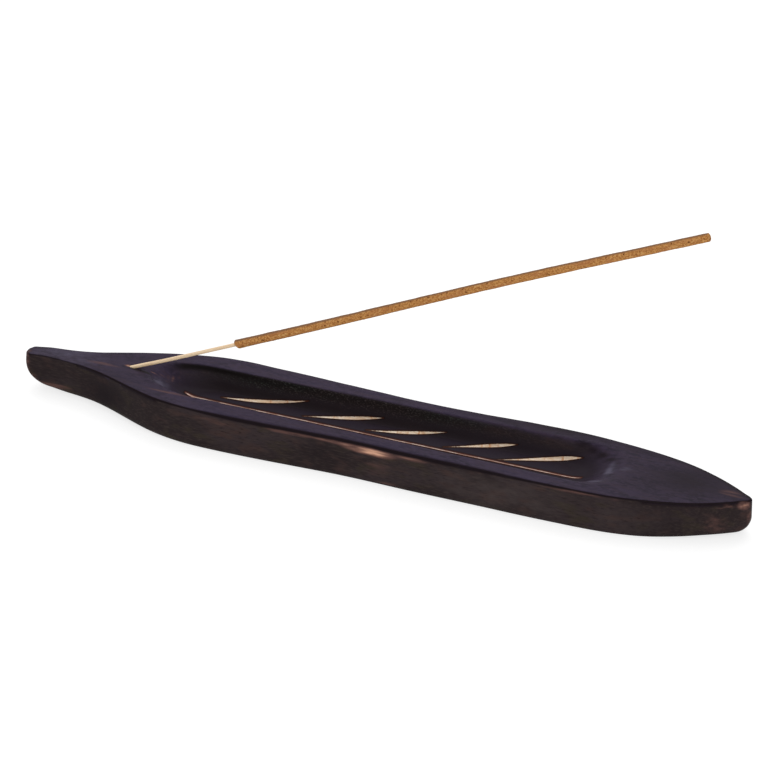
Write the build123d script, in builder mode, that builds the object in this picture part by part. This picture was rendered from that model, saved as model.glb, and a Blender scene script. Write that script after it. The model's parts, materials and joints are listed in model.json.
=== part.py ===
import os
from math import cos, radians, sin, tan

from build123d import *

# Incense stick holder: a leaf-shaped tray carved from one piece of wood, and an incense stick
# that leans over its ash trough from a slanted socket near the stem.
# Millimetres, +Z up. The origin is the middle of the tray's underside, and +X runs from stem to tip.

# Tray outline, in plan
tray_length = 250.0
tray_thickness = 13.8
stem_nose_r = 4.2
stem_taper = 6.0  # degrees between the stem's side and the long axis
neck_from_stem = 25.0
neck_half_width = 6.8
shoulder_from_stem = 47.5
shoulder_half_width = 15.1
swell_from_stem = 70.0
swell_half_width = 18.1
waist_half_width = 16.5
fore_swell_from_tip = 63.0
fore_swell_half_width = 17.4
fore_shoulder_from_tip = 30.0
fore_shoulder_half_width = 14.5
tip_nose_r = 2.6
tip_slope = 35.0  # degrees between the tip's side and the long axis

# Tray edges
top_edge_r = 2.0
bottom_edge_r = 1.6
stem_rise = 1.9  # the underside lifts towards both ends, in side view
stem_rise_run = 63.0
tip_rise = 1.7
tip_rise_run = 33.0
heel_r = 8.0  # rounding of both ends, struck a little outside the outline
heel_overhang = 1.5

# Ash trough, a long pocket with elliptical ends
trough_depth = 6.5
trough_from_stem = 43.0
trough_from_tip = 45.0
trough_stem_half_width = 9.6
trough_tip_half_width = 11.0
mouth_stem_round = 20.0  # length of the mouth's elliptical ends
mouth_tip_round = 13.0
wall_run = 2.8  # how far the long walls lean in between the mouth and the floor
stem_ramp_run = 12.0  # length of the sloping ends
tip_ramp_run = 12.0
floor_stem_round = 12.0  # length of the floor's elliptical ends
floor_tip_round = 10.0
lip_r = 1.8
cove_r = 2.6

# Gouge cuts on the trough floor: one midrib and pairs of veins
midrib_width = 0.8
midrib_depth = 0.6
midrib_end_gap = 2.0  # between the midrib's ends and the foot of each ramp
vein_count = 5
vein_pitch = 23.8
vein_first_from_stem = 68.0  # inner end of the first vein
vein_length = 24.0
vein_angle = 10.0  # degrees between a vein and the long axis
vein_gap = 2.4  # between a vein's inner end and the long axis
vein_depth = 0.55
gouge_r = 1.5

# Incense stick and its socket
stick_lean = 25.0  # degrees above the tray
socket_from_stem = 37.8
socket_depth = 11.0  # along the stick
socket_clearance = 0.3
seat_gap = 0.1  # between the stick's foot and the bottom of the socket
core_r = 0.63
core_bare_length = 51.0  # splint below the paste, with its part in the socket
paste_r = 1.4
paste_length = 175.5
paste_tip_cover = 1.2  # paste beyond the end of the splint
paste_tip_r = 0.6
paste_foot_r = 0.4

stem_x = -tray_length / 2
tip_x = tray_length / 2
trough_floor_z = tray_thickness - trough_depth
stick_axis = Vector(cos(radians(stick_lean)), 0, sin(radians(stick_lean)))
socket_mouth = Vector(stem_x + socket_from_stem, 0, tray_thickness)
socket_bottom = socket_mouth - stick_axis * socket_depth
socket_r = core_r + socket_clearance
stick_foot = socket_bottom + stick_axis * seat_gap
paste_foot = stick_foot + stick_axis * core_bare_length

with BuildPart() as tray:
    # Blank: the leaf outline, with a round nose at each end
    with BuildSketch():
        with BuildLine():
            stem_nose = CenterArc(
                (stem_x + stem_nose_r, 0), stem_nose_r, 90 + stem_taper, 180 - 2 * stem_taper
            )
            tip_nose = CenterArc(
                (tip_x - tip_nose_r, 0), tip_nose_r, tip_slope - 90, 180 - 2 * tip_slope
            )
            far_side = Spline(
                stem_nose @ 0,
                (stem_x + neck_from_stem, neck_half_width),
                (stem_x + shoulder_from_stem, shoulder_half_width),
                (stem_x + swell_from_stem, swell_half_width),
                (0, waist_half_width),
                (tip_x - fore_swell_from_tip, fore_swell_half_width),
                (tip_x - fore_shoulder_from_tip, fore_shoulder_half_width),
                tip_nose @ 1,
                tangents=(
                    (cos(radians(stem_taper)), sin(radians(stem_taper))),
                    (cos(radians(tip_slope)), -sin(radians(tip_slope))),
                ),
            )
            mirror(far_side, about=Plane.XZ)
        make_face()
    extrude(amount=tray_thickness)

    # Underside: flat in the middle, lifting gently to a round heel at each end
    with BuildSketch(Plane.XZ):
        with BuildLine():
            Polyline(
                (stem_x - heel_overhang, tray_thickness + heel_r),
                (stem_x - heel_overhang, stem_rise),
                (stem_x + stem_rise_run, 0),
                (tip_x - tip_rise_run, 0),
                (tip_x + heel_overhang, tip_rise),
                (tip_x + heel_overhang, tray_thickness + heel_r),
                close=True,
            )
        make_face()
        for end in (0, -1):
            fillet(vertices().group_by(Axis.X)[end].sort_by(Axis.Y)[0], heel_r)
    extrude(amount=tray_length, both=True, mode=Mode.INTERSECT)

    # Trough: lofted from its floor up to its mouth
    for height, inset, stem_run, tip_run, stem_round, tip_round in (
        (trough_floor_z, wall_run, stem_ramp_run, tip_ramp_run, floor_stem_round, floor_tip_round),
        (tray_thickness, 0, 0, 0, mouth_stem_round, mouth_tip_round),
    ):
        stem_centre = (stem_x + trough_from_stem + stem_run + stem_round, 0)
        tip_centre = (tip_x - trough_from_tip - tip_run - tip_round, 0)
        with BuildSketch(Plane.XY.offset(height)):
            with BuildLine():
                stem_curve = EllipticalCenterArc(
                    stem_centre, stem_round, trough_stem_half_width - inset, 90, arc_size=180
                )
                tip_curve = EllipticalCenterArc(
                    tip_centre, tip_round, trough_tip_half_width - inset, -90, arc_size=180
                )
                far_wall = Spline(stem_curve @ 0, tip_curve @ 1, tangents=((1, 0), (1, 0)))
                mirror(far_wall, about=Plane.XZ)
            make_face()
    loft(ruled=True, mode=Mode.SUBTRACT)

    # Rounded edges: the floor's cove, the trough's lip, the rim and the underside
    trough_floor = tray.faces().filter_by(Axis.Z).sort_by(Axis.Z)[1]
    fillet(trough_floor.edges(), cove_r)
    top_face = tray.faces().filter_by(Axis.Z).sort_by(Axis.Z)[-1]
    fillet(top_face.inner_wires()[0].edges(), lip_r)
    top_face = tray.faces().filter_by(Axis.Z).sort_by(Axis.Z)[-1]
    fillet(top_face.outer_wire().edges(), top_edge_r)
    undersides = tray.faces().filter_by(lambda face: face.normal_at().Z < -0.1)
    fillet(undersides.edges().filter_by(GeomType.LINE, reverse=True), bottom_edge_r)

    # Midrib: a straight V cut along the floor
    midrib_start = stem_x + trough_from_stem + stem_ramp_run + midrib_end_gap
    midrib_end = tip_x - trough_from_tip - tip_ramp_run - midrib_end_gap
    with BuildSketch(Plane.YZ.offset(midrib_start)):
        with BuildLine():
            Polyline(
                (-midrib_width / 2, trough_floor_z),
                (0, trough_floor_z - midrib_depth),
                (midrib_width / 2, trough_floor_z),
                close=True,
            )
        make_face()
    extrude(amount=midrib_end - midrib_start, mode=Mode.SUBTRACT)

    # Veins: gouge strokes that dip into the floor and come out again, on both sides of the midrib
    for side in (1, -1):
        vein_heading = Vector(cos(radians(vein_angle)), side * sin(radians(vein_angle)))
        vein_sideways = vein_heading.cross(Vector(0, 0, 1))
        for number in range(vein_count):
            vein_x = stem_x + vein_first_from_stem + number * vein_pitch
            vein_start = Vector(vein_x, side * vein_gap, trough_floor_z)
            with BuildLine(Plane(vein_start, x_dir=vein_heading, z_dir=vein_sideways)):
                stroke = SagittaArc((0, gouge_r), (vein_length, gouge_r), -vein_depth)
            with BuildSketch(Plane(stroke ^ 0)):
                Circle(gouge_r)
            sweep(path=stroke, mode=Mode.SUBTRACT)

    # Socket: a blind bore on the stick's axis, open past the slant of its mouth
    with BuildSketch(Plane(socket_bottom, z_dir=stick_axis)):
        Circle(socket_r)
    extrude(amount=socket_depth + socket_r / tan(radians(stick_lean)), mode=Mode.SUBTRACT)
tray.part.label = "tray"

with BuildPart() as bamboo_core:
    with BuildSketch(Plane(stick_foot, z_dir=stick_axis)):
        Circle(core_r)
    extrude(amount=core_bare_length + paste_length - paste_tip_cover)
bamboo_core.part.label = "bamboo_core"

with BuildPart() as incense_paste:
    with BuildSketch(Plane(paste_foot, z_dir=stick_axis)):
        Circle(paste_r)
    extrude(amount=paste_length)
    fillet(incense_paste.edges().filter_by(GeomType.CIRCLE).sort_by(Axis.Z)[0], paste_foot_r)
    fillet(incense_paste.edges().filter_by(GeomType.CIRCLE).sort_by(Axis.Z)[-1], paste_tip_r)
    with BuildSketch(Plane(paste_foot, z_dir=stick_axis)):
        Circle(core_r)
    extrude(amount=paste_length - paste_tip_cover, mode=Mode.SUBTRACT)
incense_paste.part.label = "incense_paste"

os.makedirs("parts", exist_ok=True)
export_step(tray.part, "parts/tray.step")
export_step(bamboo_core.part, "parts/bamboo_core.step")
export_step(incense_paste.part, "parts/incense_paste.step")
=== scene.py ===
import json
import math

import bpy
import numpy as np
from mathutils import Matrix, Vector


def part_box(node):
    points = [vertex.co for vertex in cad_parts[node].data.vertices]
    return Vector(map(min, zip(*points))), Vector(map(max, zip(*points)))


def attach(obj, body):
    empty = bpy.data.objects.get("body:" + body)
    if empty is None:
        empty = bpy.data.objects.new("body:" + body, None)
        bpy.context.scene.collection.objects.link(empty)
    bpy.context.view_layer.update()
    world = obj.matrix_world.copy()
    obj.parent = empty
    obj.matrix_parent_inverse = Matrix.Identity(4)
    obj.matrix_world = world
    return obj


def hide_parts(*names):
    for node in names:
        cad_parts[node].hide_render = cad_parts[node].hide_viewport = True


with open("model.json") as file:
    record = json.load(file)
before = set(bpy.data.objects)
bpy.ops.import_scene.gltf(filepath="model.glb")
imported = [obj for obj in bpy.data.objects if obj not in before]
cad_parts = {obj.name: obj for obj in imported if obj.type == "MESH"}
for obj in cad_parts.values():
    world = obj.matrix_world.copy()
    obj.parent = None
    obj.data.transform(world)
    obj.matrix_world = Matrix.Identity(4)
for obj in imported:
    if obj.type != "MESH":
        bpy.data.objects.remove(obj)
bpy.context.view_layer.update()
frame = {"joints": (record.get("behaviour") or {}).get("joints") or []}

# Incense stick holder: a dark stained leaf tray with a carved ash trough, and an incense stick.
# Sizes are written in millimetres and turned to metres where a mesh or a pattern is made.
mm = 0.001
trayLow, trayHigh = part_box("tray")
coreLow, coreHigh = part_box("bamboo_core")
pasteLow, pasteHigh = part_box("incense_paste")
slideAxis = Vector(frame["joints"][0]["axis"]).normalized()  # the stick leans along its own slide
print("frame loaded")


def deselectAll():
    if bpy.context.mode != "OBJECT":
        bpy.ops.object.mode_set(mode="OBJECT")
    bpy.ops.object.select_all(action="DESELECT")


def selectOnly(piece):
    deselectAll()
    piece.select_set(True)
    bpy.context.view_layer.objects.active = piece


def applyModifiers(piece):
    selectOnly(piece)
    for modifier in list(piece.modifiers):
        bpy.ops.object.modifier_apply(modifier=modifier.name)


def smoothShade(piece, degrees):
    selectOnly(piece)
    bpy.ops.object.shade_smooth_by_angle(angle=math.radians(degrees))


def readPlaces(piece):
    flat = np.empty(len(piece.data.vertices) * 3)
    piece.data.vertices.foreach_get("co", flat)
    return flat.reshape(-1, 3) / mm


def writePlaces(piece, places):
    piece.data.vertices.foreach_set("co", np.ascontiguousarray(places * mm).ravel())
    piece.data.update()


def writeAttribute(piece, name, values):
    attribute = piece.data.attributes.new(name, "FLOAT", "POINT")
    attribute.data.foreach_set("value", values.astype(np.float32))


def pushByClouds(piece, name, size, height, group=""):
    pattern = bpy.data.textures.new(name, "CLOUDS")
    pattern.noise_scale = size * mm
    push = piece.modifiers.new(name, "DISPLACE")
    push.texture, push.texture_coords = pattern, "LOCAL"
    push.strength, push.mid_level = height * mm, 0.5
    push.vertex_group = group


def smoothStep(low, high, value):
    share = np.clip((value - low) / (high - low), 0, 1)
    return share * share * (3 - 2 * share)


def softMax(a, b, blend):
    share = np.clip(0.5 + (a - b) / (2 * blend), 0, 1)
    return b + (a - b) * share + blend * share * (1 - share)


def softMin(a, b, blend):
    return -softMax(-a, -b, blend)


def roundOver(radius, inset):
    # how far a rounded edge has dropped, at an inset from that edge
    short = np.clip(radius - inset, 0, radius)
    return radius - np.sqrt(radius * radius - short * short)


def splineThrough(points, firstSlope, lastSlope):
    # cubic through the points, with a given slope at each end
    px, py = np.array(points, float).T
    gap = np.diff(px)
    rise = np.diff(py) / gap
    last = len(px) - 1
    rows = np.eye(last + 1)
    wanted = np.empty(last + 1)
    wanted[0], wanted[last] = firstSlope, lastSlope
    for k in range(1, last):
        rows[k, k - 1 : k + 2] = 1 / gap[k - 1], 2 / gap[k - 1] + 2 / gap[k], 1 / gap[k]
        wanted[k] = 3 * (rise[k - 1] / gap[k - 1] + rise[k] / gap[k])
    slope = np.linalg.solve(rows, wanted)

    def heightAt(x):
        k = np.clip(np.searchsorted(px, x) - 1, 0, last - 1)
        s = (x - px[k]) / gap[k]
        bend = gap[k] * s * (1 - s) * (slope[k] * (1 - s) - slope[k + 1] * s)
        return py[k] + (py[k + 1] - py[k]) * s * s * (3 - 2 * s) + bend

    return heightAt


# Tray: a sheet of quads wrapped round the leaf like a skin, one ring of rows for each station

leaf = {
    # place and half width along the side
    "side": ((-100, 6.6), (-77.5, 15.4), (-55, 18.3), (0, 16.8), (62, 17.7), (95, 14.4)),
    "sideLean": 0.7,  # how far the sides lean in at the top
    "stemNose": (3.2, 3.5),  # length and half width of the blunt stem end, in plan
    "stemBlunt": 2.8,  # 2 is an ellipse, more is squarer
    "stemTaper": 4,  # degrees between the stem's side and the long axis
    "tipNose": 2.6,
    "tipSlope": 35,
    # place and radius along the rim
    "topEdge": ((-100, 0.5), (-62, 0.8), (-45, 1.6), (30, 1.7), (58, 0.9), (90, 0.6)),
    "bottomEdge": 1.4,
    "stemCorner": 8.8,  # both ends turn up from the table, in side view
    "tipCorner": 4.2,
    # where the underside starts and stops to lift, and how much
    "rises": ((-58, -96, 1.3), (-108, -120, 0.75), (90, 122, 1.6)),
    # where the top starts and stops to drop, and how much: it is sanded a little lower at both ends
    "droops": ((-75, -118, 0.5), (-117, -125, 0.45), (75, 122, 0.6)),
    "stemBends": ((-78, -120, -1.1), (-115, -125, -0.5)),  # the stem hooks towards the near side
    # the sides wander a little: first, middle and last place, and the push at the far and the near side
    "wander": ((-99, -77, -50, -1.8, 0), (-15, 14, 46, -0.4, -0.6), (62, 84, 104, -0.55, -0.45)),
    "wanderFrom": 0.62,  # share of the half width outside which they do
}
lattice = {
    "stations": 345,
    "noseStations": 14,
    "edgeRows": 8,
    "topRows": 44,
    "midribRows": (0, 0.12, 0.24, 0.36, 0.5, 0.7, 1.0),  # offsets from the long axis
    "sideRows": 8,
    "bottomRows": 7,
    "fineSteps": 400,  # for spreading the top's rows evenly
    "narrowHalf": 5,  # where the leaf is narrower than this, the midrib's rows close up
    "thinnest": 1,
    "weld": 0.002,
}
trough = {
    "depth": 6.85,
    "stemEnd": -82,
    "tipEnd": 80,
    "stemRun": 12,  # length of the sloping ends
    "tipRun": 12,
    "wallRun": 2.8,  # how far the long walls lean in
    "stemHalf": 9.6,
    "tipHalf": 11.0,
    "nearWiden": (40, -30, 0.1),  # the near side is opened wider towards the stem
    "mouthRounds": (20, 13),  # length of the elliptical ends, stem and tip
    "floorRounds": (12, 10),
    "nearLip": ((-85, 4.8), (-60, 2.0), (-30, 1.5), (30, 1.5), (60, 1.9), (80, 2.6)),  # place, softness
    "farLip": ((-85, 1.6), (-74, 0.6), (-50, 0.7), (-20, 1.0), (20, 2.0), (60, 3.0), (80, 3.0)),
    "lipChange": (-3, 3),  # the lips pass into each other across the long axis
    "coveBlend": 1.95,
    "levels": (-2.0, 3.0),  # the level at a place is searched between these, by halving
    "halvings": 36,
    "margin": 1,  # the top side ends this far below the floor
}
midrib = {
    "start": -70.5,
    "end": 68.3,
    "halfWidth": 0.27,
    "depth": 0.4,
    "fade": 3,
    "swell": (-58, -67, 0.2),  # the cut starts wider
    "hooks": ((-65, -70.5, 0.9), (62, 68.3, 0.5)),  # both ends turn towards the far side
}
veins = {
    # start and end laid out flat from the midrib outwards, width, sag, where along it is widest, and how
    # thin its inner tail is drawn
    "strokes": (
        ((-58.0, 3.2), (-31.0, 11.6), 1.85, -1.4, 0.50, 1.1),
        ((-29.0, 2.3), (-4.6, 11.0), 1.95, -0.5, 0.66, 1.3),
        ((-6.8, 2.1), (17.4, 10.5), 1.75, -0.9, 0.60, 1.3),
        ((20.0, 1.8), (41.2, 12.1), 2.05, -0.2, 0.72, 1.6),
        ((37.2, 0.4), (63.4, 12.4), 2.45, -0.3, 0.78, 1.6),
    ),
    "depth": 0.45,
    "climb": (-0.62, 1.52),  # how height up the wall counts along and across, laid out flat
    "nearGap": 2.0,  # the near strokes start further from the midrib
    "refineWithin": 0.5,
    "refineCuts": 3,
    "relayFrom": 0.1,  # level
}

leafTop = trayHigh.z / mm
stemX, tipX = trayLow.x / mm, trayHigh.x / mm


def leafOutline():
    taper, slope = math.radians(leaf["stemTaper"]), math.radians(leaf["tipSlope"])
    stemTurn = np.linspace(0, math.pi / 2, lattice["noseStations"])
    tipTurn = np.linspace(math.pi / 2 - slope, 0, lattice["noseStations"])
    length, half = leaf["stemNose"]
    power = 2 / leaf["stemBlunt"]
    stemArc = np.column_stack((-length * np.cos(stemTurn) ** power, half * np.sin(stemTurn) ** power))
    stemArc[:, 0] += stemX + length
    tipArc = leaf["tipNose"] * np.column_stack((np.cos(tipTurn), np.sin(tipTurn)))
    tipArc[:, 0] += tipX - leaf["tipNose"]
    through = (tuple(stemArc[-1]), *leaf["side"], tuple(tipArc[0]))
    halfWidth = splineThrough(through, math.tan(taper), -math.tan(slope))
    between = np.linspace(stemArc[-1, 0], tipArc[0, 0], lattice["stations"] + 2)[1:-1]
    outline = np.vstack((stemArc, np.column_stack((between, halfWidth(between))), tipArc))
    outline[[0, -1], 1] = 0  # both noses close on the long axis
    return outline


outline = leafOutline()


def sideLean(half):
    # the sides lean in towards the top, and less at the noses
    return leaf["sideLean"] * np.minimum(1, half / leaf["stemNose"][1])


def rimRadius(x):
    return np.interp(x, *np.array(leaf["topEdge"]).T)


def edgeDistance(x, y):
    # how far a place lies inside the leaf's outline
    nearest = np.full(np.shape(x), np.inf)
    for start, end in zip(outline[:-1], outline[1:]):
        run, rise = end - start
        share = ((x - start[0]) * run + (y - start[1]) * rise) / (run * run + rise * rise)
        share = np.clip(share, 0, 1)
        away = (x - start[0] - share * run) ** 2 + (y - start[1] - share * rise) ** 2
        nearest = np.minimum(nearest, away)
    return np.sqrt(nearest)


def troughHalf(x, level):
    # half width of the trough at a level: 0 is its mouth, 1 its floor
    first = trough["stemEnd"] + trough["stemRun"] * level
    last = trough["tipEnd"] - trough["tipRun"] * level
    stemRound, tipRound = (
        np.maximum(mouth + (floor - mouth) * level, mouth / 4)
        for mouth, floor in zip(trough["mouthRounds"], trough["floorRounds"])
    )
    along = smoothStep(first + stemRound, np.maximum(last - tipRound, first + stemRound + 1), x)
    half = trough["stemHalf"] + (trough["tipHalf"] - trough["stemHalf"]) * along
    half = half - trough["wallRun"] * level
    beyond = np.maximum((first + stemRound - x) / stemRound, (x - last + tipRound) / tipRound)
    left = 1 - np.maximum(beyond, 0) ** 2
    return np.where(left > 0, half * np.sqrt(np.maximum(left, 0)), left - 1)


def troughLevel(x, y):
    first, last, widen = trough["nearWiden"]
    across = np.abs(y) / np.where(y < 0, 1 + widen * smoothStep(first, last, x), 1)
    low, high = (np.full(np.shape(x), limit) for limit in trough["levels"])
    for _ in range(trough["halvings"]):
        middle = (low + high) / 2
        inside = troughHalf(x, middle) >= across
        low = np.where(inside, middle, low)
        high = np.where(inside, high, middle)
    return low


def onTopSide(z):
    return z > leafTop - trough["depth"] - trough["margin"]


def troughDepth(x, y):
    near, far = (np.interp(x, *np.array(trough[lip]).T) for lip in ("nearLip", "farLip"))
    blend = near + (far - near) * smoothStep(*trough["lipChange"], y)
    cut = softMax(trough["depth"] * troughLevel(x, y), 0.0, blend)
    return softMin(cut, trough["depth"], trough["coveBlend"])


def midribCut(x, y):
    # distance inside the V cut, and its share of the full depth
    fade = smoothStep(midrib["start"], midrib["start"] + midrib["fade"], x)
    fade = fade * smoothStep(midrib["end"], midrib["end"] - midrib["fade"], x)
    first, last, swell = midrib["swell"]
    half = midrib["halfWidth"] + swell * smoothStep(first, last, x)
    middle = sum(turn * smoothStep(first, last, x) for first, last, turn in midrib["hooks"])
    inside = half * np.sqrt(fade) - np.abs(y - middle)
    return np.where(fade > 0, inside, -1), np.clip(inside / midrib["halfWidth"], 0, 1)


def veinCut(x, y, cutDepth):
    # distance inside the nearest vein stroke, laid out flat up the wall, and its share of the full depth
    height = trough["depth"] - cutDepth
    flatX = x + veins["climb"][0] * height
    flatY = np.abs(y) + veins["climb"][1] * height - np.where(y < 0, veins["nearGap"], 0)
    inside = np.full(np.shape(x), -9.0)
    share = np.zeros(np.shape(x))
    for start, end, width, sag, widest, tail in veins["strokes"]:
        way = Vector(end) - Vector(start)
        heading = way.normalized()
        along = (flatX - start[0]) * heading.x + (flatY - start[1]) * heading.y
        across = (flatY - start[1]) * heading.x - (flatX - start[0]) * heading.y
        u = np.clip(along / way.length, 0, 1)
        rising = np.sin(math.pi / 2 * np.minimum(u / widest, 1) ** tail)
        swell = np.where(u < widest, rising, 1 - ((u - widest) / (1 - widest)) ** 2)
        middle = sag * np.sin(math.pi * u)
        beyond = np.maximum(np.maximum(-along, along - way.length), 0)
        stroke = width / 2 * swell - np.hypot(across - middle, beyond)
        inside = np.maximum(inside, stroke)
        share = np.maximum(share, np.clip(stroke / (width / 2), 0, 1))
    return inside, share


def topHeight(x, y):
    droop = sum(drop * smoothStep(first, last, x) for first, last, drop in leaf["droops"])
    fromEdge = edgeDistance(x, np.abs(y)) - sideLean(np.interp(x, *outline.T))
    rounding = roundOver(rimRadius(x), np.maximum(fromEdge, 0))
    cutDepth = troughDepth(x, y)
    _, ribShare = midribCut(x, y)
    _, veinShare = veinCut(x, y, cutDepth)
    cuts = np.maximum(midrib["depth"] * ribShare, veins["depth"] * smoothStep(0, 1, veinShare))
    return leafTop - droop - rounding - cutDepth - cuts


def bottomHeight(x, y):
    turnUp = roundOver(leaf["stemCorner"], x - stemX) + roundOver(leaf["tipCorner"], tipX - x)
    for first, last, lift in leaf["rises"]:
        turnUp = turnUp + lift * smoothStep(first, last, x)
    return turnUp + roundOver(leaf["bottomEdge"], edgeDistance(x, np.abs(y)))


def topRows(x, half):
    # half the top's rows at each station, from the edge to the long axis, even over rim, wall and floor
    rim = np.minimum(rimRadius(x), half / 2)
    turn = np.linspace(0, math.pi / 2, lattice["edgeRows"])
    edge = half[:, None] - rim[:, None] * (1 - np.cos(turn))
    scale = np.minimum(1, half / lattice["narrowHalf"])
    centre = scale[:, None] * np.array(lattice["midribRows"])[::-1]
    share = np.linspace(0, 1, lattice["fineSteps"])
    fine = edge[:, -1:] + (centre[:, :1] - edge[:, -1:]) * share
    drop = np.abs(np.diff(troughDepth(np.broadcast_to(x[:, None], fine.shape), fine), axis=1))
    length = np.hypot(np.diff(fine, axis=1), drop)
    length = np.hstack((np.zeros((len(x), 1)), np.cumsum(length, axis=1)))
    length /= np.maximum(length[:, -1:], 1e-9)
    wanted = np.linspace(0, 1, lattice["topRows"] + 2)[1:-1]
    spread = np.array([np.interp(wanted, length[i], fine[i]) for i in range(len(x))])
    return np.hstack((edge, spread, centre))


def wrapLeaf():
    x, half = outline.T
    lean = sideLean(half)[:, None]
    top = topRows(x, half - lean[:, 0])
    bottom = half[:, None] * np.sin(np.linspace(0, math.pi / 2, lattice["bottomRows"]))
    topZ = topHeight(np.broadcast_to(x[:, None], top.shape), top)
    bottomZ = bottomHeight(np.broadcast_to(x[:, None], bottom.shape), bottom)
    bottomZ = np.minimum(bottomZ, topZ[:, :1] - lattice["thinnest"])
    rise = np.linspace(0, 1, lattice["sideRows"] + 2)[1:-1]
    sideZ = bottomZ[:, -1:] + (topZ[:, :1] - bottomZ[:, -1:]) * rise
    sideY = half[:, None] - lean * rise
    y = np.hstack((bottom, sideY, top))
    z = np.hstack((bottomZ, sideZ, topZ))
    y = np.hstack((y, -y[:, -2::-1]))  # and back down the near side
    z = np.hstack((z, z[:, -2::-1]))
    rows = y.shape[1]
    deselectAll()
    bpy.ops.mesh.primitive_grid_add(x_subdivisions=len(x) - 1, y_subdivisions=rows - 1)
    skin = bpy.context.active_object
    skin.name = skin.data.name = "carved_tray"
    places = np.stack((np.broadcast_to(x[:, None], y.shape), y, z), axis=-1)
    writePlaces(skin, places.transpose(1, 0, 2).reshape(-1, 3))
    bpy.ops.object.mode_set(mode="EDIT")
    bpy.ops.mesh.select_all(action="SELECT")
    bpy.ops.mesh.remove_doubles(threshold=lattice["weld"] * mm)
    bpy.ops.mesh.normals_make_consistent(inside=False)
    bpy.ops.object.mode_set(mode="OBJECT")
    return skin


tray = wrapLeaf()
print("tray wrapped:", len(tray.data.vertices), "vertices")


def refineVeins():
    # smaller faces round the vein strokes, laid back on the carved surface
    x, y, z = readPlaces(tray).T
    onTop = onTopSide(z) & (troughLevel(x, y) > 0)
    near = np.zeros(len(x), bool)
    inside, _ = veinCut(x[onTop], y[onTop], troughDepth(x[onTop], y[onTop]))
    near[onTop] = inside > -veins["refineWithin"]
    selectOnly(tray)
    bpy.ops.object.mode_set(mode="EDIT")
    bpy.ops.mesh.select_mode(type="FACE")
    bpy.ops.mesh.select_all(action="DESELECT")
    bpy.ops.object.mode_set(mode="OBJECT")
    for face in tray.data.polygons:
        face.select = any(near[i] for i in face.vertices)
    bpy.ops.object.mode_set(mode="EDIT")
    bpy.ops.mesh.subdivide(number_cuts=veins["refineCuts"])
    bpy.ops.object.mode_set(mode="OBJECT")
    places = readPlaces(tray)
    x, y, z = places.T
    onTop = onTopSide(z) & (troughLevel(x, y) > veins["relayFrom"])
    places[onTop, 2] = topHeight(x[onTop], y[onTop])
    writePlaces(tray, places)


refineVeins()
print("veins cut:", len(tray.data.vertices), "vertices")


# Socket: a slanted bore on the stick's axis, worn wider and ragged at its mouth

cosLean, sinLean = slideAxis.x, slideAxis.z
coreRadius = (coreHigh.y - coreLow.y) / 2
coreLength = (coreHigh.x - coreLow.x - 2 * coreRadius * sinLean) / cosLean
coreMiddle = (coreLow + coreHigh) / 2
stickFoot = coreMiddle - slideAxis * coreLength / 2
stickTurn = (0, math.acos(sinLean), 0)  # a cylinder's own axis is +Z
socket = {
    "clearance": 0.3,
    "flare": 0.12,  # the mouth is worn wider
    "offset": (0.75, -0.12, 0),  # the drill did not run quite true
    "below": 0.8,
    "reach": 14.7,
    "sides": 40,
    "ragged": 0.1,
    "raggedSeed": 7,
}


def sideShift(x, y):
    # how far hand carving has moved a place sideways
    shift = sum(push * smoothStep(first, last, x) for first, last, push in leaf["stemBends"])
    outer = smoothStep(leaf["wanderFrom"], 1, np.abs(y) / np.maximum(np.interp(x, *outline.T), 1))
    for first, middle, last, far, near in leaf["wander"]:
        share = np.where(x < middle, smoothStep(first, middle, x), smoothStep(last, middle, x))
        shift = shift + outer * share * np.where(y > 0, far, near)
    return shift


def moveSides():
    places = readPlaces(tray)
    places[:, 1] += sideShift(places[:, 0], places[:, 1])
    writePlaces(tray, places)


def boreSocket():
    bottom = stickFoot + (Vector(socket["offset"]) - slideAxis * socket["below"]) * mm
    deselectAll()
    bpy.ops.mesh.primitive_cone_add(
        vertices=socket["sides"],
        radius1=coreRadius + socket["clearance"] * mm,
        radius2=coreRadius + (socket["clearance"] + socket["flare"]) * mm,
        depth=socket["reach"] * mm,
        location=bottom + slideAxis * socket["reach"] * mm / 2,
        rotation=stickTurn,
    )
    drill = bpy.context.active_object
    bpy.ops.object.transform_apply(location=True, rotation=True, scale=True)
    bpy.ops.object.mode_set(mode="EDIT")
    bpy.ops.mesh.select_all(action="SELECT")
    bpy.ops.transform.vertex_random(offset=socket["ragged"] * mm, seed=socket["raggedSeed"])
    bpy.ops.object.mode_set(mode="OBJECT")
    bore = tray.modifiers.new("bore", "BOOLEAN")
    bore.operation, bore.solver, bore.object = "DIFFERENCE", "EXACT", drill
    applyModifiers(tray)
    bpy.data.objects.remove(drill)


moveSides()
boreSocket()
print("socket bored:", len(tray.data.vertices), "vertices")


# Hand finish: the rubbed surfaces wave a little, and the trough's walls keep their tool chatter

handFinish = {
    "waveSize": 16,
    "waveHeight": 0.16,
    "waveFrom": (1, 4),  # height: the underside stays flat
    "chatterSize": 1.4,
    "chatterHeight": 0.12,
    "chatterLevels": ((-0.05, 0.3), (1.3, 0.8)),  # where on the wall it fades in and out
    "chatterGap": -0.8,  # it fades out towards a vein
    "smoothAngle": 50,
}
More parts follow.
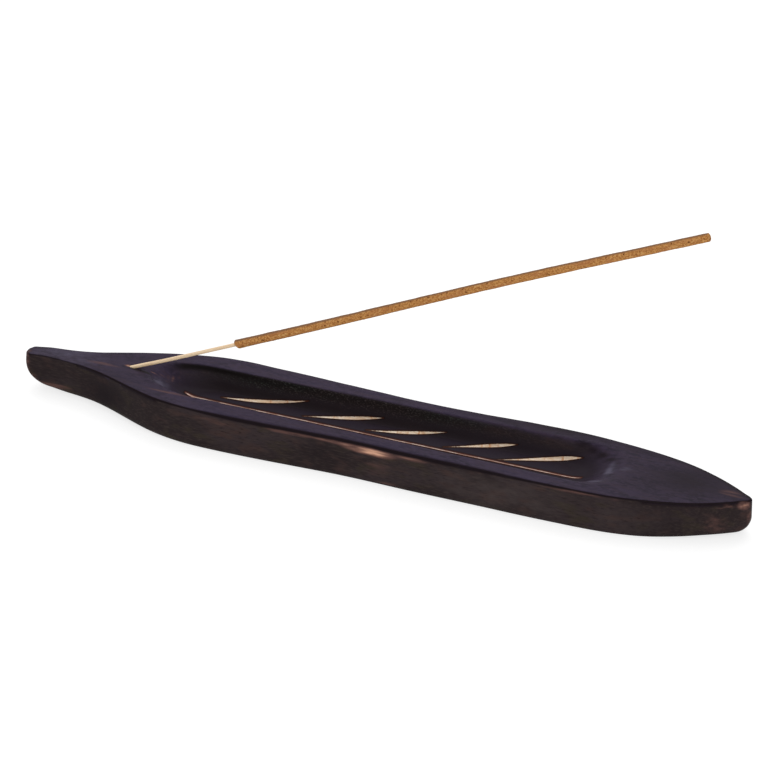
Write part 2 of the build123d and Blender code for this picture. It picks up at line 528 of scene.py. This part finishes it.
# spots on the stain, and painted highlights and shade: middle, reach along each axis, strength
wornSpots = (
    ((2.5, -16.9, 11.5), (8, 1.6, 1.1), 1.5),  # pale bare spot on the near edge
    ((-24, -17.1, 12.4), (12, 1.4, 0.6), 0.6),
    ((-9, -16.8, 12.2), (10, 1.4, 0.7), 0.85),
    ((16, -16.6, 12.0), (9, 1.4, 0.8), 0.55),
    ((5, -16.9, 6.5), (7, 1.6, 4.5), 0.3),  # smear below it
    ((5, -16.9, 4.2), (8, 1.4, 0.8), 0.42),
    ((9.5, -17.0, 1.7), (6, 1.4, 0.8), 0.55),
    ((72, -16.4, 12.9), (14, 1.4, 0.6), 0.5),  # near edge towards the tip
    ((84, -15.9, 12.6), (5, 1.4, 0.7), 0.5),
    ((118.5, 0.6, 13.4), (6, 2.8, 1.2), 0.36),  # tip
    ((118, -5, 11.8), (7, 2.6, 1.0), 0.45),
    ((123.4, -2.4, 11.6), (2.8, 2.4, 1.5), 0.72),
    ((124.6, -0.8, 7), (1.0, 2.4, 4.5), 0.45),
    ((115, -6.6, 5.5), (9, 3.4, 4.5), 0.34),
    ((-114, -5.4, 3.2), (9, 2.0, 1.2), 0.5),  # stem, near the table
    ((-122, -4, 4.2), (3, 2.4, 2.2), 0.5),
    ((-124.2, -2.5, 8), (1.8, 3, 5), 0.85),  # its end
    ((-98, -1.8, 13.6), (9, 1.2, 0.6), 0.4),  # scuff beside the socket
    ((-89.2, -0.2, 13.6), (1.6, 0.6, 0.8), 1.1),  # chipped mouth
    ((-80.6, 0.2, 13), (1.6, 0.35, 1.5), 0.6),  # tool marks on the ramp
    ((-77.8, 1.2, 12.6), (1.6, 0.35, 1.5), 0.65),
    ((-74.8, 2.2, 12), (0.45, 1.6, 2.5), 0.75),
    ((-73.2, 4.2, 12), (0.4, 2.0, 2.5), 0.7),
    ((-75, 1, 12), (5, 4, 3), 0.3),
    ((-69, -10.8, 13.4), (10, 0.9, 1.0), 0.5),  # crest of the near lip
    ((-52, -17.9, 11), (9, 1.4, 1.6), 0.35),  # flank below the lip
    ((-30, 17.0, 12.9), (16, 1.2, 0.7), 0.35),  # far edge
    ((52, 17.0, 13.0), (12, 1.2, 0.6), 0.35),
)
# painted highlights and sheen on the stain
paintedHighlightSpots = (
    ((-113, 0, 13.6), (17, 9, 2), 0.5),  # painted sheen on the stem's top
    ((-76.5, -3.2, 12), (4.6, 3.8, 4.0), 0.7),  # painted highlight at both ends of the trough
    ((76.8, 0.8, 12.7), (2.2, 4.6, 3.0), 0.75),
    ((71, 1.5, 11), (6, 2.2, 3), 0.32),
    ((81, 1.2, 13.7), (6, 1.6, 0.9), 0.42),
    ((74, -8.2, 13.2), (4, 1.2, 1.2), 0.9),
    ((46, -17, 6), (30, 4, 8), 0.55),  # painted light on the near flank
    ((90, -15, 6), (20, 6, 7), 0.4),
)
# darker spots: painted shade and shadow, and some darker patches
darkenedSpots = (
    ((105, 0, 13.8), (30, 15, 3), 0.55),  # darker on the tip and in the neck; on the tip this is painted shade
    ((52, 16, 13.8), (36, 5, 3), 0.7),
    ((86, 12.5, 13.8), (20, 3, 3), 0.45),
    ((64.5, 11.4, 12.8), (3.4, 1.3, 2), 0.8),  # painted shadow under the far lip, at the far corner of the tip's ramp
    ((68, 10, 12.7), (3, 1.3, 2), 0.85),
    ((71.5, 8.4, 12.6), (3, 1.3, 2), 0.9),
    ((75, 6.4, 12.8), (3, 1.3, 2), 0.8),
    ((78, 4.4, 13), (2.4, 1.3, 1.4), 0.6),
    # painted shade: the near side darker towards the stem
    ((-92, -9, 6), (15, 7, 8), 0.75),
    ((-86, -1.5, 13.7), (2.2, 0.5, 0.9), 1.4),  # painted shadow below the stick
    ((-83, -1.7, 13.6), (3.2, 0.9, 0.9), 0.9),
    ((-118, -4, 6), (8, 4, 8), 0.4),
    ((-14, -17, 6.5), (9, 3, 5), 0.55),  # beside the bare spot
    ((98, -13, 6), (16, 5, 8), 0.4),
)


# where the stain and the painted shade fade in and out: along the tray, or by level between the trough's
# mouth (0) and floor (1)
zones = {
    "slopedEnds": ((-82, -58), (84, 62)),  # the painted shade in the trough is weaker here
    "hollowLevels": (0.05, 0.8),
    "tipFade": (66, 0),
    "wallAlong": ((-84, -38), (84, 62)),
    "wallLevels": ((-0.2, 0.08), (0.8, 0.22)),
    "wallFacing": (0.2, 0.6),
    "lipLineAlong": ((-79, -72), (-30, -60)),
    "lipLineLevels": ((-0.04, 0.06), (0.36, 0.14)),
    "footLevels": ((0.2, 0.8), (1.9, 0.9)),
    "edgeFacing": ((0.1, 0.4), (0.98, 0.85)),
    "edgeMargin": 0.2,
    "farTipAlong": (70, 110),
    "farTipInset": (3.2, 1.0),
    "farTipStrength": 0.8,
    "awayFromCuts": -9.0,
}


def within(fades, value):
    # 1 between two soft steps, one in and one out
    first, last = zones[fades]
    return smoothStep(*first, value) * smoothStep(*last, value)


def spotStrength(places, spots):
    strongest = np.zeros(len(places))
    for middle, reach, strength in spots:
        away = (((places - middle) / reach) ** 2).sum(axis=1)
        strongest = np.maximum(strongest, strength * np.exp(-away))
    return strongest


def roughenTray():
    x, y, z = readPlaces(tray).T
    level = troughLevel(x, y)
    vein, _ = veinCut(x, y, troughDepth(x, y))
    wall = np.prod([smoothStep(*fade, level) for fade in handFinish["chatterLevels"]], axis=0)
    wall = wall * smoothStep(0, handFinish["chatterGap"], vein) * onTopSide(z)
    rubbed = smoothStep(*handFinish["waveFrom"], z)
    for name, weights in (("tooled", wall), ("rubbed", rubbed)):
        group = tray.vertex_groups.new(name=name)
        for index in np.nonzero(weights > 0.01)[0]:
            group.add([int(index)], float(weights[index]), "REPLACE")
    pushByClouds(tray, "wave", handFinish["waveSize"], handFinish["waveHeight"], "rubbed")
    pushByClouds(tray, "chatter", handFinish["chatterSize"], handFinish["chatterHeight"], "tooled")
    applyModifiers(tray)


def markTray():
    # what the stain and the painted shade and highlights need to know of each place: which way it faces,
    # cuts, depth, walls, edges and spots
    places = readPlaces(tray)
    x, y, z = places.T
    normals = np.empty(places.size)
    tray.data.vertices.foreach_get("normal", normals)
    normals = normals.reshape(-1, 3)
    sideways, faceUp = np.abs(normals[:, 1]), normals[:, 2]
    onTop = onTopSide(z)
    level = np.where(onTop, troughLevel(x, y), -1)
    rib, _ = midribCut(x, y)
    vein, _ = veinCut(x, y, troughDepth(x, y))
    between = within("slopedEnds", x)
    fading = smoothStep(*zones["tipFade"], x)
    # the steep walls: tool marks, and painted shade
    wall = within("wallLevels", level) * smoothStep(*zones["wallFacing"], sideways)
    # painted shadow: a thin dark line just under the far lip
    lipLine = within("lipLineLevels", level) * within("lipLineAlong", x) * (y > 0)
    # painted shade at the foot of the far wall and on the floor beside it
    foot = within("footLevels", level) * between * (y > 0)
    straight = y - sideShift(x, y)
    inset = edgeDistance(x, np.abs(straight))
    # painted shade: a dark band along the rounded top edges, and in from the far edge towards the tip
    edge = within("edgeFacing", faceUp) * (inset < rimRadius(x) + leaf["sideLean"] + zones["edgeMargin"])
    farTip = smoothStep(*zones["farTipInset"], inset) * smoothStep(*zones["farTipAlong"], x)
    farTip = zones["farTipStrength"] * farTip * (straight > 0)
    writeAttribute(tray, "faceUp", faceUp)
    writeAttribute(tray, "veinCut", np.where(onTop, vein, zones["awayFromCuts"]))
    writeAttribute(tray, "ribCut", np.where(onTop, rib, zones["awayFromCuts"]))
    # painted shade: darker deeper in the trough, less on its sloped ends
    writeAttribute(tray, "hollow", smoothStep(*zones["hollowLevels"], level) * (0.4 + 0.6 * between))
    writeAttribute(tray, "wall", wall * within("wallAlong", x) * (0.25 + 0.75 * fading))
    writeAttribute(tray, "lipLine", lipLine)
    writeAttribute(tray, "foot", foot * (0.5 + 0.5 * fading))
    writeAttribute(tray, "edge", np.maximum(edge, farTip) * (z > leafTop / 2))
    for name, spots in (("wear", wornSpots), ("paintedHighlight", paintedHighlightSpots), ("darkened", darkenedSpots)):
        writeAttribute(tray, name, spotStrength(places, spots))


roughenTray()
markTray()
smoothShade(tray, handFinish["smoothAngle"])
print("tray finished:", sum(len(face.vertices) - 2 for face in tray.data.polygons), "triangles")


# Incense stick: a split bamboo splint with paste rolled on it

splint = {
    "sides": 20,
    "cuts": (30, 4),  # a subdivide makes 100 cuts at most, so each rod is divided twice
    "squareness": 0.1,
    "arch": 0.7,  # the stick is not quite straight: it arches in its upper part
    "archMiddle": 0.68,
    "archReach": 0.38,
    "sag": 0.33,  # it lies low in its socket
    "sagRun": (6, 26),
}
paste = {
    "bareLength": 51,
    "length": 175.5,
    "sides": 44,
    "cuts": (30, 22),
    "footRound": 0.3,
    "footSlant": 0.45,  # the foot is cut askew
    "slantRun": 4,
    "tipRound": 0.35,
    "swell": 0.06,  # the roll is thicker towards its foot
    "swellRun": 100,
    "grainSize": 0.55,
    "grainHeight": 0.13,
    "rollSize": 7,
    "rollHeight": 0.2,
}


def addRod(name, sides, radius, length, middle, cuts):
    # a cylinder along the stick's axis, divided along its length
    deselectAll()
    bpy.ops.mesh.primitive_cylinder_add(
        vertices=sides, radius=radius, depth=length, location=middle, rotation=stickTurn
    )
    rod = bpy.context.active_object
    rod.name = rod.data.name = name
    bpy.ops.object.transform_apply(location=True, rotation=True, scale=True)
    for count in cuts:
        bpy.ops.object.mode_set(mode="EDIT")
        bpy.ops.mesh.select_mode(type="EDGE")
        bpy.ops.mesh.select_all(action="DESELECT")
        bpy.ops.object.mode_set(mode="OBJECT")
        for edge in rod.data.edges:
            start, end = (rod.data.vertices[i].co for i in edge.vertices)
            edge.select = abs((end - start).normalized().dot(slideAxis)) > 0.9
        bpy.ops.object.mode_set(mode="EDIT")
        bpy.ops.mesh.subdivide(number_cuts=count)
        bpy.ops.object.mode_set(mode="OBJECT")
    return rod


def alongStick(places):
    # distance up the stick from its foot, and the offset from its axis
    axis = np.array(slideAxis)
    foot = np.array(stickFoot) / mm
    along = (places - foot) @ axis
    return along, places - foot - along[:, None] * axis


def archStick(piece):
    places = readPlaces(piece)
    along, _ = alongStick(places)
    away = np.clip((along * mm / coreLength - splint["archMiddle"]) / splint["archReach"], -1, 1)
    places[:, 2] += splint["arch"] * (0.5 + 0.5 * np.cos(math.pi * away))
    places[:, 2] -= splint["sag"] * smoothStep(*splint["sagRun"], along)
    writePlaces(piece, places)


def markTopSide(piece, radius):
    _, offset = alongStick(readPlaces(piece))
    writeAttribute(piece, "topSide", offset @ np.array((-sinLean, 0, cosLean)) * mm / radius)


def shapeSplint():
    # split, not turned: a square section with rounded corners
    places = readPlaces(bamboo)
    _, offset = alongStick(places)
    turn = np.arctan2(offset @ np.array((-sinLean, 0, cosLean)), offset[:, 1])
    places -= offset * (splint["squareness"] * (0.5 + 0.5 * np.cos(4 * turn)))[:, None]
    writePlaces(bamboo, places)


def shapeRoll():
    places = readPlaces(roll)
    along, offset = alongStick(places)
    fromFoot = along - paste["bareLength"]
    for radius, inset in ((paste["footRound"], fromFoot), (paste["tipRound"], paste["length"] - fromFoot)):
        places -= offset * (roundOver(radius, inset) * mm / pasteRadius)[:, None]
    places += offset * (paste["swell"] * smoothStep(paste["swellRun"], 0, fromFoot))[:, None]
    upper = offset @ np.array((-sinLean, 0, cosLean)) * mm / pasteRadius
    slant = paste["footSlant"] * upper * smoothStep(paste["slantRun"], 0, fromFoot)
    writePlaces(roll, places - slant[:, None] * np.array(slideAxis))


bamboo = addRod("bamboo_splint", splint["sides"], coreRadius, coreLength, coreMiddle, splint["cuts"])
shapeSplint()
markTopSide(bamboo, coreRadius)
archStick(bamboo)

pasteRadius = (pasteHigh.y - pasteLow.y) / 2
pasteMiddle = stickFoot + slideAxis * (paste["bareLength"] + paste["length"] / 2) * mm
roll = addRod(
    "incense_roll", paste["sides"], pasteRadius, paste["length"] * mm, pasteMiddle, paste["cuts"]
)
shapeRoll()
markTopSide(roll, pasteRadius)
pushByClouds(roll, "hand_roll", paste["rollSize"], paste["rollHeight"])
pushByClouds(roll, "grain", paste["grainSize"], paste["grainHeight"])
applyModifiers(roll)
archStick(roll)
smoothShade(bamboo, handFinish["smoothAngle"])
smoothShade(roll, handFinish["smoothAngle"])
print("stick made:", len(bamboo.data.vertices) + len(roll.data.vertices), "vertices")


# Finishes

def linear(hexColour):
    parts = [int(hexColour[i : i + 2], 16) / 255 for i in (1, 3, 5)]
    return [p / 12.92 if p <= 0.04045 else ((p + 0.055) / 1.055) ** 2.4 for p in parts] + [1]


def addNode(tree, kind, links, **settings):
    node = tree.nodes.new(kind)
    for name, value in settings.items():
        setattr(node, name, value)
    for name, value in links.items():
        if isinstance(value, bpy.types.NodeSocket):
            tree.links.new(value, node.inputs[name])
        else:
            node.inputs[name].default_value = value
    return node


def newMaterial(name):
    material = bpy.data.materials.new(name)
    material.use_nodes = True
    material.node_tree.nodes.clear()
    return material, material.node_tree


def addNoises(tree, patterns, lean=0.0):
    # one noise for each pattern, stretched to its size along, across and up, in millimetres
    place = addNode(tree, "ShaderNodeTexCoord", {}).outputs["Object"]
    noises = {}
    for name, (size, detail) in patterns.items():
        spread = addNode(
            tree,
            "ShaderNodeMapping",
            {"Vector": place, "Rotation": (0, -lean, 0), "Scale": [length * mm for length in size]},
            vector_type="TEXTURE",
        ).outputs[0]
        noises[name] = addNode(
            tree, "ShaderNodeTexNoise", {"Vector": spread, "Scale": 1, "Detail": detail}
        ).outputs[0]
    return noises


def addMasks(tree, ranges):
    # soft steps from 0 to 1 between two values of a pattern or an attribute
    masks = {}
    for name, (value, low, high) in ranges.items():
        masks[name] = addNode(
            tree, "ShaderNodeMapRange", {0: value, 1: low, 2: high}, interpolation_type="SMOOTHSTEP"
        ).outputs[0]
    return masks


def layColours(tree, ground, layers):
    # colours laid over each other, each through its mask
    colour = ground
    for mask, coat in layers:
        colour = addNode(tree, "ShaderNodeMix", {0: mask, 6: colour, 7: coat}, data_type="RGBA").outputs[2]
    return colour


stain = {
    "fray": 0.35,  # how much noise frays the edges of the vein cuts
    "breakUp": (1.8, 0.1),  # and breaks up the spots: share and least strength
    "roughness": (0.48, 0.85),  # rubbed, and on the tooled wall
    "specular": 0.04,
    "grainBump": (0.15, 0.05),  # strength, height
    "nickHeight": 0.1,
}


def stainedWood():
    # Close-grained hardwood, carved by hand, stained purple-black and rubbed: a dull satin skin with streaks
    # along the grain, brown where hands have thinned it, and pale bare wood in the gouge cuts.
    # Shade in the trough and along the edges, and highlights and sheen, are painted into the colour.
    material, tree = newMaterial("stained_hardwood_hand_carved")
    noise = addNoises(
        tree,
        {
            "streak": ((8, 1.1, 1.1), 4),
            "grain": ((1.8, 0.8, 0.8), 2),
            "mottle": ((5, 2.4, 2.4), 4),
            "cloud": ((30, 10, 10), 3),
            "pore": ((4, 0.4, 0.4), 2),  # real pores are finer than the render can show
            "fibre": ((2.4, 0.4, 0.36), 3),
            "nick": ((0.7, 0.3, 0.34), 2),
            "stroke": ((0.8, 5, 5), 1),  # gouge chatter across a cut
            "patch": ((10, 4, 4), 2),
        },
    )
    mark = {
        name: addNode(tree, "ShaderNodeAttribute", {}, attribute_name=name).outputs["Fac"]
        for name in (
            "faceUp", "veinCut", "ribCut", "hollow", "wall", "lipLine", "foot", "edge", "wear", "paintedHighlight",
            "darkened",
        )
    }
    frayed = {0: noise["nick"], 1: stain["fray"], 2: mark["veinCut"]}
    mark["veinCut"] = addNode(tree, "ShaderNodeMath", frayed, operation="MULTIPLY_ADD").outputs[0]
    share, least = stain["breakUp"]
    for name, weight in (("wear", "streak"), ("paintedHighlight", "mottle"), ("darkened", "cloud")):
        broken = addNode(
            tree, "ShaderNodeMath", {0: noise[weight], 1: share, 2: least}, operation="MULTIPLY_ADD"
        ).outputs[0]
        mark[name] = addNode(
            tree, "ShaderNodeMath", {0: mark[name], 1: broken}, operation="MULTIPLY"
        ).outputs[0]
    mask = addMasks(
        tree,
        {
            "upward": (mark["faceUp"], 0.3, 0.85),
            "streaky": (noise["streak"], 0.4, 0.7),
            "grainy": (noise["grain"], 0.42, 0.7),
            "mottled": (noise["mottle"], 0.4, 0.64),
            "cloudy": (noise["cloud"], 0.4, 0.62),
            "fibrous": (noise["fibre"], 0.48, 0.75),
            "sunken": (noise["fibre"], 0.48, 0.25),
            "ruddy": (noise["patch"], 0.52, 0.72),
            "olive": (noise["patch"], 0.46, 0.28),
            "highlighted": (mark["paintedHighlight"], 0.15, 1.0),
            "darkening": (mark["darkened"], 0.0, 1.0),
            "thinned": (mark["wear"], 0.15, 0.7),
            "bared": (mark["wear"], 0.45, 1.4),
            "scorch": (mark["veinCut"], -0.72, -0.28),
            "singe": (mark["veinCut"], -0.32, 0.08),
            "cut": (mark["veinCut"], 0.12, 0.37),
            "ribShade": (mark["ribCut"], -1.1, -0.5),
            "ribFlank": (mark["ribCut"], -0.6, -0.15),
            "rib": (mark["ribCut"], 0.0, 0.14),
            "porous": (noise["pore"], 0.35, 0.7),
            "nicked": (noise["nick"], 0.5, 0.74),
            "stroked": (noise["stroke"], 0.54, 0.8),
        },
    )
    side = layColours(
        tree,
        linear("#2d2526"),
        (
            (mask["cloudy"], linear("#382f31")),
            (mask["ruddy"], linear("#413230")),
            (mask["olive"], linear("#38302a")),
            (mask["fibrous"], linear("#3f3533")),
            (mask["sunken"], linear("#2a2122")),
        ),
    )
    # the upward faces: purple-black stain, painted lighter with the satin sheen
    top = layColours(
        tree,
        linear("#28222f"),
        (
            (mask["cloudy"], linear("#2f273a")),
            (mask["mottled"], linear("#372e40")),
            (mask["streaky"], linear("#392e3c")),
            (mask["grainy"], linear("#3b3143")),
        ),
    )
    scratched = layColours(tree, linear("#3f3636"), ((mask["cloudy"], linear("#383c38")),))
    # the trough's walls: tooled and flecked, and darker as painted shade
    wall = layColours(
        tree,
        linear("#1f1919"),
        ((mask["cloudy"], linear("#171615")), (mask["nicked"], scratched)),
    )
    # painted highlight: grey-blue on the upward faces, grey-brown on the sides
    paintedHighlight = layColours(tree, linear("#4a4140"), ((mask["upward"], linear("#5f5a6c")),))
    bare = layColours(
        tree,
        linear("#e2c6a8"),
        ((mask["porous"], linear("#f6e8d6")), (mask["stroked"], linear("#d6a379"))),
    )
    rib = layColours(tree, linear("#cca898"), ((mask["mottled"], linear("#f2dfd4")),))
    colour = layColours(
        tree,
        side,
        (
            (mask["upward"], top),
            # painted shade deeper in the trough
            (mark["hollow"], linear("#2a232c")),
            # painted shade at the foot of the far wall
            (mark["foot"], linear("#231c1f")),
            (mark["wall"], wall),
            # painted shadow under the far lip
            (mark["lipLine"], linear("#120e0e")),
            # painted shade along the rounded top edges
            (mark["edge"], linear("#170f13")),
            # painted shade and shadow, and darker patches
            (mask["darkening"], linear("#1a1317")),
            # painted highlights and sheen
            (mask["highlighted"], paintedHighlight),
            (mask["thinned"], linear("#70514b")),
            (mask["bared"], linear("#e8b396")),
            (mask["scorch"], linear("#1c110f")),
            (mask["singe"], linear("#44241a")),
            (mask["cut"], bare),
            (mask["ribShade"], linear("#1d1113")),
            (mask["ribFlank"], linear("#4a241c")),
            (mask["rib"], rib),
        ),
    )
    rubbed, tooled = stain["roughness"]
    roughness = addNode(tree, "ShaderNodeMapRange", {0: mark["wall"], 3: rubbed, 4: tooled}).outputs[0]
    strength, height = stain["grainBump"]
    grain = addNode(
        tree,
        "ShaderNodeBump",
        {"Height": noise["streak"], "Strength": strength, "Distance": height * mm},
    ).outputs[0]
    nicks = addNode(
        tree,
        "ShaderNodeBump",
        {
            "Height": noise["nick"],
            "Strength": mark["wall"],
            "Distance": stain["nickHeight"] * mm,
            "Normal": grain,
        },
    ).outputs[0]
    shader = addNode(
        tree,
        "ShaderNodeBsdfPrincipled",
        {
            "Base Color": colour,
            "Roughness": roughness,
            "Specular IOR Level": stain["specular"],
            "Normal": nicks,
        },
    )
    addNode(tree, "ShaderNodeOutputMaterial", {"Surface": shader.outputs[0]})
    return material


def splitBamboo():
    # Bamboo split and scraped: pale straw with long fibres, and a darker tan on its lower side.
    material, tree = newMaterial("split_bamboo_scraped")
    lean = math.asin(sinLean)
    noise = addNoises(tree, {"fibre": ((14, 0.22, 0.22), 3), "stain": ((9, 2, 2), 2)}, lean)
    topSide = addNode(tree, "ShaderNodeAttribute", {}, attribute_name="topSide").outputs["Fac"]
    mask = addMasks(
        tree,
        {
            "fibrous": (noise["fibre"], 0.4, 0.7),
            "stained": (noise["stain"], 0.52, 0.75),
            # darker tan on the lower side
            "skin": (topSide, -0.45, -0.95),
        },
    )
    colour = layColours(
        tree,
        linear("#fce2be"),
        (
            (mask["fibrous"], linear("#f2cda3")),
            (mask["stained"], linear("#ecc396")),
            (mask["skin"], linear("#dfb27a")),
        ),
    )
    fibres = addNode(
        tree, "ShaderNodeBump", {"Height": noise["fibre"], "Strength": 0.5, "Distance": 0.05 * mm}
    ).outputs[0]
    shader = addNode(
        tree,
        "ShaderNodeBsdfPrincipled",
        {"Base Color": colour, "Roughness": 0.55, "Specular IOR Level": 0.3, "Normal": fibres},
    )
    addNode(tree, "ShaderNodeOutputMaterial", {"Surface": shader.outputs[0]})
    return material


def incensePaste():
    # Wood powder and gum, rolled on by hand and dried: a dry, sandy crust with dark and light grains.
    material, tree = newMaterial("incense_powder_paste_rolled")
    lean = math.asin(sinLean)
    noise = addNoises(
        tree,
        {
            "grain": ((0.5, 0.42, 0.42), 2),
            "flake": ((0.8, 0.6, 0.6), 1),
            "speck": ((0.8, 0.6, 0.6), 0),
            "batch": ((6, 1.8, 1.8), 2),
        },
        lean,
    )
    topSide = addNode(tree, "ShaderNodeAttribute", {}, attribute_name="topSide").outputs["Fac"]
    mask = addMasks(
        tree,
        {
            "grainy": (noise["grain"], 0.38, 0.62),
            "flaky": (noise["flake"], 0.6, 0.74),
            "specked": (noise["speck"], 0.3, 0.2),
            "ruddy": (noise["batch"], 0.46, 0.66),
            # darker along the roll's upper side
            "darkerAbove": (topSide, 0.75, 1.0),
        },
    )
    powder = layColours(tree, linear("#a66c38"), ((mask["grainy"], linear("#d0985a")),))
    ruddy = addNode(tree, "ShaderNodeMath", {0: mask["ruddy"], 1: 0.6}, operation="MULTIPLY").outputs[0]
    colour = layColours(
        tree,
        powder,
        (
            (ruddy, linear("#b3764a")),
            (mask["flaky"], linear("#d6a76c")),
            (mask["specked"], linear("#74441f")),
            (mask["darkerAbove"], linear("#876246")),
        ),
    )
    crust = addNode(
        tree, "ShaderNodeBump", {"Height": noise["grain"], "Strength": 0.6, "Distance": 0.12 * mm}
    ).outputs[0]
    shader = addNode(
        tree,
        "ShaderNodeBsdfPrincipled",
        {"Base Color": colour, "Roughness": 0.95, "Specular IOR Level": 0.1, "Normal": crust},
    )
    addNode(tree, "ShaderNodeOutputMaterial", {"Surface": shader.outputs[0]})
    return material


tray.data.materials.append(stainedWood())
bamboo.data.materials.append(splitBamboo())
roll.data.materials.append(incensePaste())

for piece, body, node, slotName in (
    (tray, "holder", "tray", "stained_wood"),
    (bamboo, "stick", "bamboo_core", "bamboo"),
    (roll, "stick", "incense_paste", "incense"),
):
    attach(piece, body)
    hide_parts(node)
print("finishes laid")


# Studio: a white floor that keeps the shadow, a large lamp above and behind, a weaker one in front

studio = {
    # metres and watts, but the gap below the tray is in millimetres
    "floorSize": 16,
    "floorGap": 0.05,
    "floorGlow": 0.72,
    "ambient": 0.35,
    "backPower": 10,
    "backPlace": (-0.25, 0.6, 1.1),
    "backSize": (1.6, 1.2),
    "frontPower": 8,
    "frontPlace": (0.5, -1.1, 0.7),
    "frontSize": (1.4, 1.0),
}


def seenBackground(tree):
    # 1 where the background itself is seen, straight on or in a reflection
    ray = addNode(tree, "ShaderNodeLightPath", {}).outputs
    seen = ray["Is Camera Ray"]
    for other in ("Is Glossy Ray", "Is Transmission Ray"):
        seen = addNode(tree, "ShaderNodeMath", {0: seen, 1: ray[other]}, operation="MAXIMUM").outputs[0]
    return seen


def whiteFloor():
    deselectAll()
    bpy.ops.mesh.primitive_plane_add(size=studio["floorSize"])
    floor = bpy.context.active_object
    floor.name = "studio_floor"
    bpy.ops.transform.translate(value=(0, 0, -studio["floorGap"] * mm))
    material, tree = newMaterial("white_paper_sweep")
    paper = addNode(tree, "ShaderNodeBsdfDiffuse", {"Color": linear("#e8e8e8")}).outputs[0]
    matte = addNode(tree, "ShaderNodeBsdfDiffuse", {"Color": linear("#b0b0b0")}).outputs[0]
    glow = addNode(
        tree, "ShaderNodeEmission", {"Color": linear("#ffffff"), "Strength": studio["floorGlow"]}
    ).outputs[0]
    white = addNode(tree, "ShaderNodeAddShader", {0: matte, 1: glow}).outputs[0]
    look = addNode(tree, "ShaderNodeMixShader", {0: seenBackground(tree), 1: paper, 2: white}).outputs[0]
    addNode(tree, "ShaderNodeOutputMaterial", {"Surface": look})
    floor.data.materials.append(material)


def whiteRoom():
    world = bpy.data.worlds.new("white_room")
    bpy.context.scene.world = world
    world.use_nodes = True
    tree = world.node_tree
    tree.nodes.clear()
    level = addNode(
        tree, "ShaderNodeMapRange", {0: seenBackground(tree), 3: studio["ambient"], 4: 1.0}
    ).outputs[0]
    light = addNode(tree, "ShaderNodeBackground", {"Color": linear("#ffffff"), "Strength": level}).outputs[0]
    addNode(tree, "ShaderNodeOutputWorld", {"Surface": light})


def addLamp(name):
    place = Vector(studio[name + "Place"])
    deselectAll()
    bpy.ops.object.light_add(type="AREA", location=place)
    lamp = bpy.context.active_object
    lamp.name = name + "_lamp"
    lamp.data.energy, lamp.data.shape = studio[name + "Power"], "RECTANGLE"
    lamp.data.size, lamp.data.size_y = studio[name + "Size"]
    lamp.rotation_euler = (-place).to_track_quat("-Z", "Y").to_euler()


whiteFloor()
whiteRoom()
addLamp("back")
addLamp("front")
print("studio lit")


# Camera at the photograph's viewing angle

camera = {
    "elevation": 31.3,
    "azimuth": 22.07,
    "distance": 2.0,  # metres
    "pxPerMm": 3.106,
    "shiftRight": -0.15,  # the object's origin in the picture, from its middle, in millimetres
    "shiftUp": -23.1,
    "imagePx": 768,
    "sensor": 36,
}


def placeCamera():
    az, el = math.radians(camera["azimuth"]), math.radians(camera["elevation"])
    right = Vector((math.cos(az), math.sin(az), 0))
    up = Vector((-math.sin(az) * math.sin(el), math.cos(az) * math.sin(el), math.cos(el)))
    back = right.cross(up)
    aim = -(right * camera["shiftRight"] + up * camera["shiftUp"]) * mm
    deselectAll()
    bpy.ops.object.camera_add(location=aim + back * camera["distance"])
    view = bpy.context.active_object
    view.rotation_euler = Matrix((right, up, back)).transposed().to_euler()
    view.data.sensor_width = camera["sensor"]
    view.data.lens = camera["pxPerMm"] / mm * camera["distance"] / camera["imagePx"] * camera["sensor"]
    bpy.context.scene.camera = view


placeCamera()
bpy.context.scene.view_settings.view_transform = "Standard"
print("camera placed")
